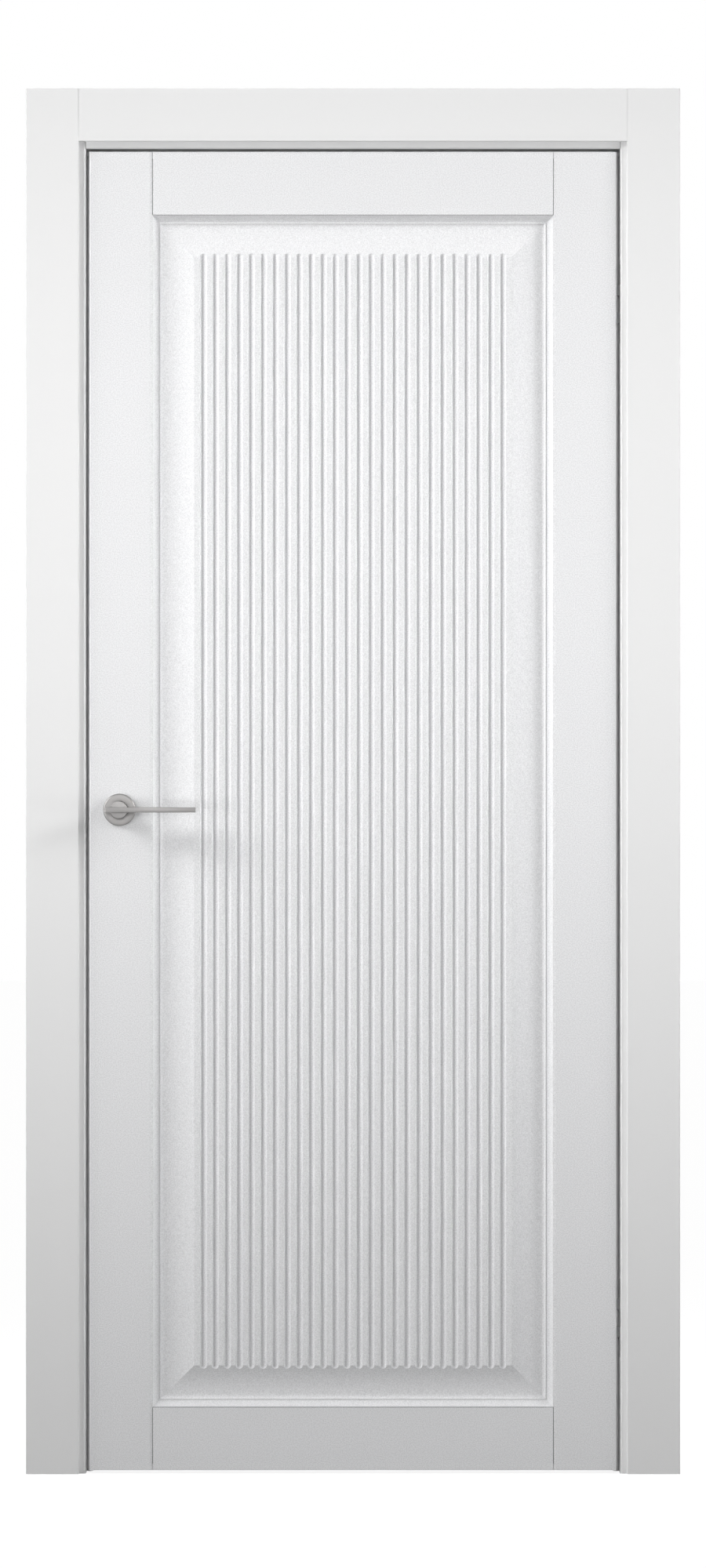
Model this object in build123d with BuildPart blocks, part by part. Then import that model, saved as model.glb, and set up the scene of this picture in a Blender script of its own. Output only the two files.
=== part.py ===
from build123d import *
import os
from math import cos, radians, sin

# Interior doorset: a stile-and-rail leaf with a fluted raised panel, hung on concealed hinges
# in a lined opening with flat casings on both sides of the wall.
# Millimetres. X runs towards the hinge side, Y away from the viewer, Z up. The origin lies on
# the wall face of the hinge jamb, at floor level, half way through the wall.

# Leaf
LEAF_WIDTH = 800
LEAF_HEIGHT = 2000
LEAF_THICKNESS = 40
LEAF_GAP = 5
FLOOR_GAP = 5
LOCK_EDGE_BEVEL = 1.8
EDGE_BAND = 2.5
BAND_ARRIS = 2
STILE_WIDTH = 96
RAIL_WIDTH = 96
QUIRK_WIDTH = 4.2
QUIRK_DEPTH = 1
GROOVE_DEPTH = 10.5
TONGUE_LENGTH = 10
SHADOW_GAP = 0.6
SHADOW_GAP_DEPTH = 3

# Raised and fluted panel
PANEL_EDGE = 12
PANEL_FIELD = 36
COVE_WIDTH = 50.5
BEAD_WIDTH = 12.5
BEAD_LIP = 1.6
BEAD_TOP_FLAT = 0.8
BEAD_HOLLOW_RADIUS = 14
FLUTE_COUNT = 26
FLUTE_PITCH = 18.15
FLUTE_RADIUS = 5.75
FLUTE_DEPTH = 3
FLUTE_OVERRUN = 9

# Frame
JAMB_THICKNESS = 26
FRAME_DEPTH = 80
JAMB_ARRIS = 4
STOP_PROJECTION = 9.5
STOP_DEPTH = 30
SEAL_BULB_WIDTH = 7
SEAL_BULB_HEIGHT = 5
SEAL_STEM_WIDTH = 3
SEAL_STEM_DEPTH = 5
CASING_WIDTH = 80
CASING_THICKNESS = 10
CASING_SETBACK = 10.5
CASING_ARRIS = 1.2
CASING_RELIEF = 1
CASING_BEARING = 14

# Concealed hinges
HINGE_HEIGHTS = (235, 1775)
HINGE_PIVOT_FORWARD = 5
HINGE_PLATE_WIDTH = 28
HINGE_PLATE_HEIGHT = 120
HINGE_PLATE_CORNER = 6
HINGE_PLATE_THICKNESS = 3
HINGE_BODY_HEIGHT = 84
HINGE_BODY_DEPTH = 22.5
HINGE_PLATE_FRONT = 3
ARM_INNER_RADIUS = 20
ARM_OUTER_RADIUS = 26
ARM_HALF_ANGLE = 60
ARM_HEIGHT = 58
ARM_WAIST_HEIGHT = 26
ARM_WAIST_ANGLE = 18
ARM_CLEARANCE = 0.6
ARM_END_CLEARANCE = 2.5

# Latch and handles
HANDLE_INSET = 46
HANDLE_HEIGHT = 1002
FOREND_WIDTH = 22
FOREND_HEIGHT = 57
FOREND_THICKNESS = 3
LATCH_CASE_WIDTH = 14
LATCH_CASE_HEIGHT = 26
LATCH_CASE_LENGTH = 66
BOLT_WIDTH = 9
BOLT_HEIGHT = 20
BOLT_LENGTH = 24
BOLT_CLEARANCE = 0.5
STRIKE_WIDTH = 24
STRIKE_HEIGHT = 76
STRIKE_THICKNESS = 2
STRIKE_POCKET_DEPTH = 12
ROSE_DIAMETER = 49
ROSE_THICKNESS = 8
ROSE_EDGE = 1.6
ROSE_BORE = 27
NECK_DIAMETER = 26
NECK_ROOT = 3
LEVER_LENGTH_OUT = 116.5
LEVER_LENGTH_BACK = 19.5
LEVER_FACE_HEIGHT = 7.8
LEVER_DEPTH = 16
LEVER_STANDOFF = 42
LEVER_ARRIS = 0.6
SPINDLE_SIZE = 8
SPINDLE_BORE = 20
SPINDLE_ENGAGEMENT = 26
FOLLOWER_BORE = 13

# Places that follow from the sizes above
leaf_right = -(JAMB_THICKNESS + LEAF_GAP)
leaf_left = leaf_right - LEAF_WIDTH
leaf_front = -FRAME_DEPTH / 2
leaf_back = leaf_front + LEAF_THICKNESS
leaf_bottom = FLOOR_GAP
leaf_top = FLOOR_GAP + LEAF_HEIGHT
leaf_mid_x = (leaf_left + leaf_right) / 2
leaf_mid_y = (leaf_front + leaf_back) / 2
leaf_mid_z = (leaf_bottom + leaf_top) / 2

jamb_face_hinge = -JAMB_THICKNESS
jamb_face_strike = leaf_left - LEAF_GAP
frame_left = jamb_face_strike - JAMB_THICKNESS
frame_front = -FRAME_DEPTH / 2
frame_back = FRAME_DEPTH / 2
head_face = leaf_top + LEAF_GAP
frame_top = head_face + JAMB_THICKNESS
stop_front = frame_back - STOP_DEPTH
casing_inner_hinge = jamb_face_hinge + CASING_SETBACK
casing_inner_strike = jamb_face_strike - CASING_SETBACK
casing_inner_head = head_face + CASING_SETBACK
casing_top = casing_inner_head + CASING_WIDTH

stile_inner_lock = leaf_left + STILE_WIDTH
stile_inner_hinge = leaf_right - STILE_WIDTH
rail_inner_bottom = leaf_bottom + RAIL_WIDTH
rail_inner_top = leaf_top - RAIL_WIDTH
opening_width = stile_inner_hinge - stile_inner_lock
opening_height = rail_inner_top - rail_inner_bottom
field_width = opening_width - 2 * (BEAD_WIDTH + COVE_WIDTH)
field_height = opening_height - 2 * (BEAD_WIDTH + COVE_WIDTH)
panel_floor = (LEAF_THICKNESS - PANEL_EDGE) / 2
field_depth = (LEAF_THICKNESS - PANEL_FIELD) / 2

pivot_x = (jamb_face_hinge + leaf_right) / 2
pivot_y = leaf_front - HINGE_PIVOT_FORWARD
hinge_mid_y = leaf_front + HINGE_PLATE_FRONT + HINGE_PLATE_WIDTH / 2
handle_x = leaf_left + HANDLE_INSET
handle_z = leaf_bottom + HANDLE_HEIGHT

MIRROR_SIDES = Plane.YZ.offset(leaf_mid_x)
MIRROR_FACES = Plane.XZ.offset(-leaf_mid_y)
MIRROR_WALL = Plane.XZ
MIRROR_HEIGHT = Plane.XY.offset(leaf_mid_z)


def write(builder, name):
    """Name a finished piece and write its file."""
    builder.part.label = name
    export_step(builder.part, f"parts/{name}.step")


def mirrored(builder, plane):
    """The same piece on the other side of a plane."""
    with BuildPart() as twin:
        mirror(builder.part, about=plane)
    return twin


def board(x_low, x_high, y_low, y_high, z_low, z_high):
    """A plain board between six faces."""
    with BuildPart() as piece:
        with BuildSketch(Plane.XY.offset(z_low)):
            with Locations(((x_low + x_high) / 2, (y_low + y_high) / 2)):
                Rectangle(x_high - x_low, y_high - y_low)
        extrude(amount=z_high - z_low)
    return piece


# Hinge housings, which the jamb and the leaf are both cut for
def hinge_envelope(height):
    """The room that one frame-side hinge housing takes: its plate and the body behind it."""
    with BuildPart() as envelope:
        with BuildSketch(Plane.YZ.offset(jamb_face_hinge)):
            with Locations((hinge_mid_y, height)):
                RectangleRounded(HINGE_PLATE_WIDTH, HINGE_PLATE_HEIGHT, HINGE_PLATE_CORNER)
        extrude(amount=HINGE_PLATE_THICKNESS)
        with BuildSketch(Plane.YZ.offset(jamb_face_hinge)):
            with Locations((hinge_mid_y, height)):
                RectangleRounded(HINGE_PLATE_WIDTH, HINGE_BODY_HEIGHT, HINGE_PLATE_CORNER)
        extrude(amount=HINGE_BODY_DEPTH)
    return envelope


def ring_sector(inner, outer, start, end):
    """A flat sketch of a ring sector about the hinge pivot, angles in degrees from +X."""
    with BuildSketch(mode=Mode.PRIVATE) as sector:
        with BuildLine():
            corners = [
                (pivot_x + radius * cos(radians(angle)), pivot_y + radius * sin(radians(angle)))
                for radius, angle in ((inner, start), (outer, start), (outer, end), (inner, end))
            ]
            Line(corners[0], corners[1])
            CenterArc((pivot_x, pivot_y), outer, start, end - start)
            Line(corners[2], corners[3])
            CenterArc((pivot_x, pivot_y), inner, start, end - start)
        make_face()
    return sector.sketch


def hinge_housing(height):
    """A cast housing with the curved slot that its arm slides in."""
    slot = ring_sector(
        ARM_INNER_RADIUS - ARM_CLEARANCE,
        ARM_OUTER_RADIUS + ARM_CLEARANCE,
        90 - ARM_HALF_ANGLE - ARM_END_CLEARANCE,
        110,
    )
    with BuildPart() as housing:
        add(hinge_envelope(height).part)
        with BuildSketch(Plane.XY.offset(height - ARM_HEIGHT / 2 - 1)):
            add(slot)
        extrude(amount=ARM_HEIGHT + 2, mode=Mode.SUBTRACT)
    return housing


def hinge_arm(height):
    """A curved arm about the pivot, waisted where it crosses the gap."""
    arm_plate = ring_sector(
        ARM_INNER_RADIUS, ARM_OUTER_RADIUS, 90 - ARM_HALF_ANGLE, 90 + ARM_HALF_ANGLE
    )
    waist = ring_sector(
        ARM_INNER_RADIUS - 1, ARM_OUTER_RADIUS + 1, 90 - ARM_WAIST_ANGLE, 90 + ARM_WAIST_ANGLE
    )
    with BuildPart() as arm:
        with BuildSketch(Plane.XY.offset(height - ARM_HEIGHT / 2)):
            add(arm_plate)
        extrude(amount=ARM_HEIGHT)
        with BuildSketch(Plane.XY.offset(height - ARM_WAIST_HEIGHT / 2)):
            add(waist)
        extrude(amount=ARM_WAIST_HEIGHT, mode=Mode.SUBTRACT)
    return arm


# Frame: two jambs, a head and the stops that carry the seals
def jamb_hinge():
    """The hinge jamb, cut for both hinge housings."""
    with BuildPart() as jamb:
        add(board(jamb_face_hinge, 0, frame_front, frame_back, 0, frame_top).part)
        arris = jamb.edges().filter_by(Axis.Z).group_by(Axis.Y)[0].sort_by(Axis.X)[0]
        fillet(arris, radius=JAMB_ARRIS)
        for height in HINGE_HEIGHTS:
            add(hinge_envelope(height).part, mode=Mode.SUBTRACT)
    return jamb


def strike_plate_outline(face_x):
    """The rounded outline of the strike plate, on the jamb face."""
    with BuildSketch(Plane.YZ.offset(face_x), mode=Mode.PRIVATE) as outline:
        with Locations((leaf_mid_y, handle_z)):
            RectangleRounded(STRIKE_WIDTH, STRIKE_HEIGHT, STRIKE_WIDTH / 2 - 1)
    return outline.sketch


def jamb_strike():
    """The strike jamb, let in for the strike plate and bored behind it."""
    with BuildPart() as jamb:
        add(board(frame_left, jamb_face_strike, frame_front, frame_back, 0, frame_top).part)
        arris = jamb.edges().filter_by(Axis.Z).group_by(Axis.Y)[0].sort_by(Axis.X)[-1]
        fillet(arris, radius=JAMB_ARRIS)
        extrude(strike_plate_outline(jamb_face_strike), amount=-STRIKE_THICKNESS, mode=Mode.SUBTRACT)
        with BuildSketch(Plane.YZ.offset(jamb_face_strike)):
            with Locations((leaf_mid_y, handle_z)):
                Rectangle(BOLT_WIDTH + 2, BOLT_HEIGHT + 2)
        extrude(amount=-STRIKE_POCKET_DEPTH, mode=Mode.SUBTRACT)
    return jamb


def strike_plate():
    """The strike plate, with the opening that the magnetic bolt enters."""
    with BuildPart() as plate:
        extrude(strike_plate_outline(jamb_face_strike), amount=-STRIKE_THICKNESS)
        with BuildSketch(Plane.YZ.offset(jamb_face_strike)):
            with Locations((leaf_mid_y, handle_z)):
                Rectangle(BOLT_WIDTH + 2, BOLT_HEIGHT + 2)
        extrude(amount=-STRIKE_THICKNESS, mode=Mode.SUBTRACT)
    return plate


def jamb_head():
    """The head of the frame, housed between the jambs."""
    with BuildPart() as head:
        add(board(jamb_face_strike, jamb_face_hinge, frame_front, frame_back, head_face, frame_top).part)
        arris = head.edges().filter_by(Axis.X).group_by(Axis.Y)[0].sort_by(Axis.Z)[0]
        fillet(arris, radius=JAMB_ARRIS)
    return head


def stop_upright(face_x, inward):
    """A side stop with the groove for its seal; inward points from the jamb into the doorway."""
    stop_top = head_face - STOP_PROJECTION
    with BuildPart() as stop:
        low, high = sorted((face_x, face_x + inward * STOP_PROJECTION))
        add(board(low, high, stop_front, frame_back, 0, stop_top).part)
        with BuildSketch(Plane.XY):
            with Locations((face_x + inward * STOP_PROJECTION / 2, stop_front + SEAL_STEM_DEPTH / 2)):
                Rectangle(SEAL_STEM_WIDTH, SEAL_STEM_DEPTH)
        extrude(amount=stop_top, mode=Mode.SUBTRACT)
    return stop


def stop_head():
    """The head stop, which the side stops end against."""
    with BuildPart() as stop:
        low = head_face - STOP_PROJECTION
        add(board(jamb_face_strike, jamb_face_hinge, stop_front, frame_back, low, head_face).part)
        with BuildSketch(Plane.YZ.offset(jamb_face_strike)):
            with Locations((stop_front + SEAL_STEM_DEPTH / 2, low + STOP_PROJECTION / 2)):
                Rectangle(SEAL_STEM_DEPTH, SEAL_STEM_WIDTH)
        extrude(amount=jamb_face_hinge - jamb_face_strike, mode=Mode.SUBTRACT)
    return stop


def seal_section():
    """The seal's section, with its stem along +X from the stop's face and its bulb before it."""
    with BuildSketch(mode=Mode.PRIVATE) as section:
        with Locations((SEAL_STEM_DEPTH / 2, 0)):
            Rectangle(SEAL_STEM_DEPTH, SEAL_STEM_WIDTH)
        with BuildLine():
            base_top = Line((0, -SEAL_BULB_WIDTH / 2), (0, SEAL_BULB_WIDTH / 2))
            ThreePointArc(base_top @ 1, (-SEAL_BULB_HEIGHT, 0), base_top @ 0)
        make_face()
    return section.sketch


def seal_upright(face_x, inward):
    """The seal down one side stop."""
    centre_x = face_x + inward * STOP_PROJECTION / 2
    seal_plane = Plane(origin=(centre_x, stop_front, 0), x_dir=(0, 1, 0), z_dir=(0, 0, 1))
    with BuildPart() as seal:
        with BuildSketch(seal_plane):
            add(seal_section())
        extrude(amount=head_face - STOP_PROJECTION)
    return seal


def seal_head():
    """The seal along the head stop, over the two side seals."""
    centre_z = head_face - STOP_PROJECTION / 2
    seal_plane = Plane(
        origin=(jamb_face_strike, stop_front, centre_z), x_dir=(0, 1, 0), z_dir=(1, 0, 0)
    )
    with BuildPart() as seal:
        with BuildSketch(seal_plane):
            add(seal_section())
        extrude(amount=jamb_face_hinge - jamb_face_strike)
    return seal


def casing_section(inner, outer):
    """A casing's section across its width, with its relieved back on the wall."""
    low, high = sorted((inner, outer))
    face = frame_front - CASING_THICKNESS
    with BuildSketch(mode=Mode.PRIVATE) as section:
        with Locations(((low + high) / 2, (face + frame_front) / 2)):
            outline = Rectangle(high - low, CASING_THICKNESS)
        fillet(outline.vertices().group_by(Axis.Y)[0], CASING_ARRIS)
        relief_low = low + CASING_BEARING
        relief_high = high - CASING_BEARING
        with Locations(((relief_low + relief_high) / 2, frame_front - CASING_RELIEF / 2)):
            Rectangle(relief_high - relief_low, CASING_RELIEF, mode=Mode.SUBTRACT)
    return section.sketch


def casing_upright(inner, outer):
    """A front casing leg, from the floor to the top of the head casing."""
    with BuildPart() as casing:
        with BuildSketch():
            add(casing_section(inner, outer))
        extrude(amount=casing_top)
    return casing


def casing_head():
    """The front head casing, between the legs."""
    section_plane = Plane(origin=(casing_inner_strike, 0, 0), x_dir=(0, 0, 1), z_dir=(1, 0, 0))
    with BuildPart() as casing:
        with BuildSketch(section_plane):
            with Locations(Location((0, 0), 0)):
                add(mirror(casing_section(casing_inner_head, casing_top), about=Plane.XZ, mode=Mode.PRIVATE))
        extrude(amount=casing_inner_hinge - casing_inner_strike)
    return casing


# Leaf: stiles, rails, edge bands, panel and beads
def stile_section(inner, outer_front, outer_back):
    """A stile's section: quirked inner arrises, and the groove that takes panel and rails."""
    into = 1 if outer_front > inner else -1
    quirk = inner + into * QUIRK_WIDTH
    groove = inner + into * GROOVE_DEPTH
    groove_front = leaf_mid_y - PANEL_EDGE / 2
    groove_back = leaf_mid_y + PANEL_EDGE / 2
    with BuildSketch(mode=Mode.PRIVATE) as section:
        with BuildLine():
            Polyline(
                (outer_front, leaf_front),
                (quirk, leaf_front),
                (inner, leaf_front + QUIRK_DEPTH),
                (inner, groove_front),
                (groove, groove_front),
                (groove, groove_back),
                (inner, groove_back),
                (inner, leaf_back - QUIRK_DEPTH),
                (quirk, leaf_back),
                (outer_back, leaf_back),
                close=True,
            )
        make_face()
    return section.sketch


def stile_lock():
    """The lock stile, bevelled with its edge, mortised for the latch and bored for the spindle."""
    outer = leaf_left + EDGE_BAND
    with BuildPart() as stile:
        with BuildSketch(Plane.XY.offset(leaf_bottom)):
            add(stile_section(stile_inner_lock, outer, outer + LOCK_EDGE_BEVEL))
        extrude(amount=LEAF_HEIGHT)
        add(latch_envelope().part, mode=Mode.SUBTRACT)
        with BuildSketch(Plane.XZ.offset(-leaf_back)):
            with Locations((handle_x, handle_z)):
                Circle(SPINDLE_BORE / 2)
        extrude(amount=LEAF_THICKNESS, mode=Mode.SUBTRACT)
    return stile


def stile_hinge():
    """The hinge stile, cut for both hinge housings."""
    outer = leaf_right - EDGE_BAND
    with BuildPart() as stile:
        with BuildSketch(Plane.XY.offset(leaf_bottom)):
            add(stile_section(stile_inner_hinge, outer, outer))
        extrude(amount=LEAF_HEIGHT)
        for height in HINGE_HEIGHTS:
            add(mirrored(hinge_envelope(height), Plane.YZ.offset(pivot_x)).part, mode=Mode.SUBTRACT)
    return stile


def band_section(outer, inner, bevel):
    """An edge band's section with its two small outer arrises."""
    into = 1 if inner > outer else -1
    with BuildSketch(mode=Mode.PRIVATE) as section:
        with BuildLine():
            Polyline(
                (outer + into * BAND_ARRIS, leaf_front),
                (inner, leaf_front),
                (inner + into * bevel, leaf_back),
                (outer + into * (BAND_ARRIS + bevel), leaf_back),
                (outer + into * bevel, leaf_back - BAND_ARRIS),
                (outer, leaf_front + BAND_ARRIS),
                close=True,
            )
        make_face()
    return section.sketch


def edge_band_lock():
    """The band on the bevelled lock edge, cut round the latch forend."""
    with BuildPart() as band:
        with BuildSketch(Plane.XY.offset(leaf_bottom)):
            add(band_section(leaf_left, leaf_left + EDGE_BAND, LOCK_EDGE_BEVEL))
        extrude(amount=LEAF_HEIGHT)
        add(latch_envelope().part, mode=Mode.SUBTRACT)
    return band


def edge_band_hinge():
    """The band on the hinge edge, cut round the hinge plates."""
    with BuildPart() as band:
        with BuildSketch(Plane.XY.offset(leaf_bottom)):
            add(band_section(leaf_right, leaf_right - EDGE_BAND, 0))
        extrude(amount=LEAF_HEIGHT)
        for height in HINGE_HEIGHTS:
            add(mirrored(hinge_envelope(height), Plane.YZ.offset(pivot_x)).part, mode=Mode.SUBTRACT)
    return band


def rail_bottom():
    """The bottom rail: stub tenons, the panel's groove and a shadow line round its inner edges."""
    tongue_front = leaf_mid_y - PANEL_EDGE / 2
    tongue_back = leaf_mid_y + PANEL_EDGE / 2
    core_top = rail_inner_bottom
    face_top = rail_inner_bottom - SHADOW_GAP
    low, high = stile_inner_lock, stile_inner_hinge
    face_low, face_high = low + SHADOW_GAP, high - SHADOW_GAP
    core_front, core_back = leaf_front + SHADOW_GAP_DEPTH, leaf_back - SHADOW_GAP_DEPTH
    tenon_top = rail_inner_bottom - GROOVE_DEPTH
    with BuildPart() as rail:
        add(board(low, high, core_front, core_back, leaf_bottom, core_top).part)
        add(board(face_low, face_high, leaf_front, leaf_back, leaf_bottom, face_top).part)
        add(
            board(
                low - TONGUE_LENGTH, high + TONGUE_LENGTH, tongue_front, tongue_back, leaf_bottom, tenon_top
            ).part
        )
        with BuildSketch(Plane.YZ.offset(low)):
            with Locations((leaf_mid_y, rail_inner_bottom - GROOVE_DEPTH / 2)):
                Rectangle(PANEL_EDGE, GROOVE_DEPTH)
        extrude(amount=opening_width, mode=Mode.SUBTRACT)
    return rail


def panel_section(half_width):
    """The raised panel's section: edge tongues, a hollow rise on each side and the flat field."""
    floor_edge = half_width - BEAD_WIDTH
    field_edge = floor_edge - COVE_WIDTH
    with BuildSketch(mode=Mode.PRIVATE) as section:
        with BuildLine():
            for side in (1, -1):
                for face in (1, -1):
                    low = face * PANEL_EDGE / 2
                    high = face * PANEL_FIELD / 2
                    Line((0, high), (side * field_edge, high))
                    TangentArc((side * floor_edge, low), (side * field_edge, high), tangent=(-side, 0))
                    Line((side * floor_edge, low), (side * (half_width + TONGUE_LENGTH), low))
                tip = side * (half_width + TONGUE_LENGTH)
                Line((tip, -PANEL_EDGE / 2), (tip, PANEL_EDGE / 2))
        make_face()
    return section.sketch


def flute_cutter():
    """The middle flute of the front face, run on past the field until the hollow rise frees it."""
    run = field_height / 2 + FLUTE_OVERRUN
    with BuildPart() as cutter:
        with BuildSketch(Plane.XY.offset(leaf_mid_z - run)):
            with Locations((leaf_mid_x, leaf_front + field_depth - FLUTE_RADIUS + FLUTE_DEPTH)):
                Circle(FLUTE_RADIUS)
        extrude(amount=2 * run)
    return cutter


def panel():
    """The raised panel: two sections crossed, so that its rises mitre at the corners, then fluted."""
    across = Plane(origin=(leaf_mid_x, leaf_mid_y, leaf_mid_z), x_dir=(1, 0, 0), z_dir=(0, 0, 1))
    upright = Plane(origin=(leaf_mid_x, leaf_mid_y, leaf_mid_z), x_dir=(0, 0, 1), z_dir=(-1, 0, 0))
    front_flute = flute_cutter()
    back_flute = mirrored(front_flute, MIRROR_FACES)
    first = -(FLUTE_COUNT - 1) / 2 * FLUTE_PITCH
    with BuildPart() as piece:
        with BuildSketch(across):
            add(panel_section(opening_width / 2))
        extrude(amount=opening_height, both=True)
        with BuildSketch(upright):
            add(panel_section(opening_height / 2))
        extrude(amount=opening_width, both=True, mode=Mode.INTERSECT)
        with Locations([(first + index * FLUTE_PITCH, 0, 0) for index in range(FLUTE_COUNT)]):
            add(front_flute.part, mode=Mode.SUBTRACT)
            add(back_flute.part, mode=Mode.SUBTRACT)
    return piece


def bead_section():
    """A bead's section: out from the stile along X, up from the panel along Y, hollow between."""
    top = panel_floor - QUIRK_DEPTH
    with BuildSketch(mode=Mode.PRIVATE) as section:
        with BuildLine():
            foot = Polyline((BEAD_WIDTH, BEAD_LIP), (BEAD_WIDTH, 0), (0, 0), (0, top), (BEAD_TOP_FLAT, top))
            lip = Line((BEAD_WIDTH - BEAD_TOP_FLAT, BEAD_LIP), foot @ 0)
            RadiusArc(foot @ 1, lip @ 0, BEAD_HOLLOW_RADIUS)
        make_face()
    return section.sketch


def bead_upright():
    """The front bead along the lock stile, mitred at both ends."""
    seat = Plane(
        origin=(stile_inner_lock, leaf_front + panel_floor, rail_inner_bottom),
        x_dir=(1, 0, 0),
        z_dir=(0, 0, -1),
    )
    with BuildPart() as bead:
        with BuildSketch(seat):
            add(bead_section())
        extrude(amount=-opening_height)
        with BuildSketch(Plane.XZ.offset(-leaf_mid_y)):
            with BuildLine():
                Polyline(
                    (stile_inner_lock, rail_inner_bottom),
                    (stile_inner_lock + BEAD_WIDTH, rail_inner_bottom + BEAD_WIDTH),
                    (stile_inner_lock + BEAD_WIDTH, rail_inner_top - BEAD_WIDTH),
                    (stile_inner_lock, rail_inner_top),
                    close=True,
                )
            make_face()
        extrude(amount=LEAF_THICKNESS, mode=Mode.INTERSECT)
    return bead


def bead_level():
    """The front bead along the bottom rail, mitred at both ends."""
    seat = Plane(
        origin=(stile_inner_lock, leaf_front + panel_floor, rail_inner_bottom),
        x_dir=(0, 0, 1),
        z_dir=(1, 0, 0),
    )
    with BuildPart() as bead:
        with BuildSketch(seat):
            add(bead_section())
        extrude(amount=opening_width)
        with BuildSketch(Plane.XZ.offset(-leaf_mid_y)):
            with BuildLine():
                Polyline(
                    (stile_inner_lock, rail_inner_bottom),
                    (stile_inner_lock + BEAD_WIDTH, rail_inner_bottom + BEAD_WIDTH),
                    (stile_inner_hinge - BEAD_WIDTH, rail_inner_bottom + BEAD_WIDTH),
                    (stile_inner_hinge, rail_inner_bottom),
                    close=True,
                )
            make_face()
        extrude(amount=LEAF_THICKNESS, mode=Mode.INTERSECT)
    return bead


# Latch, roses and the turning handle
def latch_envelope():
    """The room that the latch takes in the lock edge: its forend and the case behind."""
    with BuildPart() as envelope:
        with BuildSketch(Plane.YZ.offset(leaf_left)):
            with Locations((leaf_mid_y, handle_z)):
                RectangleRounded(FOREND_WIDTH, FOREND_HEIGHT, FOREND_WIDTH / 2 - 1)
        extrude(amount=LOCK_EDGE_BEVEL + FOREND_THICKNESS)
        with BuildSketch(Plane.YZ.offset(leaf_left)):
            with Locations((leaf_mid_y, handle_z)):
                Rectangle(LATCH_CASE_WIDTH, LATCH_CASE_HEIGHT)
        extrude(amount=LATCH_CASE_LENGTH)
    return envelope


def lock_edge_trim():
    """What lies outside the bevelled lock edge, taken off the forend and the bolt."""
    with BuildPart() as trim:
        with BuildSketch(Plane.XY.offset(leaf_bottom)):
            with BuildLine():
                Polyline(
                    (leaf_left - EDGE_BAND, leaf_front),
                    (leaf_left, leaf_front),
                    (leaf_left + LOCK_EDGE_BEVEL, leaf_back),
                    (leaf_left - EDGE_BAND, leaf_back),
                    close=True,
                )
            make_face()
        extrude(amount=LEAF_HEIGHT)
    return trim


def latch_bolt_block(clearance):
    """The magnetic bolt in its pocket, grown by a clearance all round."""
    with BuildPart() as bolt:
        with BuildSketch(Plane.YZ.offset(leaf_left)):
            with Locations((leaf_mid_y, handle_z)):
                Rectangle(BOLT_WIDTH + 2 * clearance, BOLT_HEIGHT + 2 * clearance)
        extrude(amount=BOLT_LENGTH + 2 * clearance)
    return bolt


def latch():
    """The magnetic latch: forend and case, with the bolt's pocket and the follower's hole."""
    with BuildPart() as piece:
        add(latch_envelope().part)
        add(lock_edge_trim().part, mode=Mode.SUBTRACT)
        add(latch_bolt_block(BOLT_CLEARANCE).part, mode=Mode.SUBTRACT)
        with BuildSketch(Plane.XZ.offset(-leaf_back)):
            with Locations((handle_x, handle_z)):
                Circle(FOLLOWER_BORE / 2)
        extrude(amount=LEAF_THICKNESS, mode=Mode.SUBTRACT)
    return piece


def latch_bolt():
    """The magnetic bolt, held flush with the bevelled edge."""
    with BuildPart() as bolt:
        add(latch_bolt_block(0).part)
        add(lock_edge_trim().part, mode=Mode.SUBTRACT)
    return bolt


def rose_front():
    """The round rose on the front of the lock stile."""
    with BuildPart() as rose:
        with BuildSketch(Plane.XZ.offset(-leaf_front)):
            with Locations((handle_x, handle_z)):
                Circle(ROSE_DIAMETER / 2)
                Circle(ROSE_BORE / 2, mode=Mode.SUBTRACT)
        extrude(amount=ROSE_THICKNESS)
        rim = rose.edges().filter_by(GeomType.CIRCLE).group_by(Axis.Y)[0].sort_by(SortBy.RADIUS)[-1]
        chamfer(rim, length=ROSE_EDGE)
    return rose


def lever_front():
    """The front lever: a round neck and a straight square-edged bar, with the spindle's socket."""
    bar_mid = handle_x + (LEVER_LENGTH_OUT - LEVER_LENGTH_BACK) / 2
    with BuildPart() as lever:
        with BuildSketch(Plane.XZ.offset(-leaf_front + LEVER_STANDOFF)):
            with Locations((bar_mid, handle_z)):
                Rectangle(LEVER_LENGTH_OUT + LEVER_LENGTH_BACK, LEVER_FACE_HEIGHT)
        extrude(amount=LEVER_DEPTH)
        chamfer(lever.edges(), length=LEVER_ARRIS)
        with BuildSketch(Plane.XZ.offset(-leaf_front + NECK_ROOT)):
            with Locations((handle_x, handle_z)):
                Circle(NECK_DIAMETER / 2)
        extrude(amount=LEVER_STANDOFF - NECK_ROOT)
        with BuildSketch(Plane.XZ.offset(-leaf_front + NECK_ROOT)):
            with Locations((handle_x, handle_z)):
                Rectangle(SPINDLE_SIZE, SPINDLE_SIZE)
        extrude(amount=SPINDLE_ENGAGEMENT - NECK_ROOT, mode=Mode.SUBTRACT)
    return lever


def spindle():
    """The square spindle through the leaf, seated in both levers."""
    with BuildPart() as bar:
        with BuildSketch(Plane.XZ.offset(-leaf_back - SPINDLE_ENGAGEMENT)):
            with Locations((handle_x, handle_z)):
                Rectangle(SPINDLE_SIZE, SPINDLE_SIZE)
        extrude(amount=LEAF_THICKNESS + 2 * SPINDLE_ENGAGEMENT)
    return bar


os.makedirs("parts", exist_ok=True)

# Frame
write(jamb_hinge(), "jamb_hinge")
write(jamb_strike(), "jamb_strike")
write(jamb_head(), "jamb_head")
write(strike_plate(), "strike_plate")
write(stop_upright(jamb_face_hinge, -1), "stop_hinge")
write(stop_upright(jamb_face_strike, 1), "stop_strike")
write(stop_head(), "stop_head")
write(seal_upright(jamb_face_hinge, -1), "seal_hinge")
write(seal_upright(jamb_face_strike, 1), "seal_strike")
write(seal_head(), "seal_head")

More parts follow.
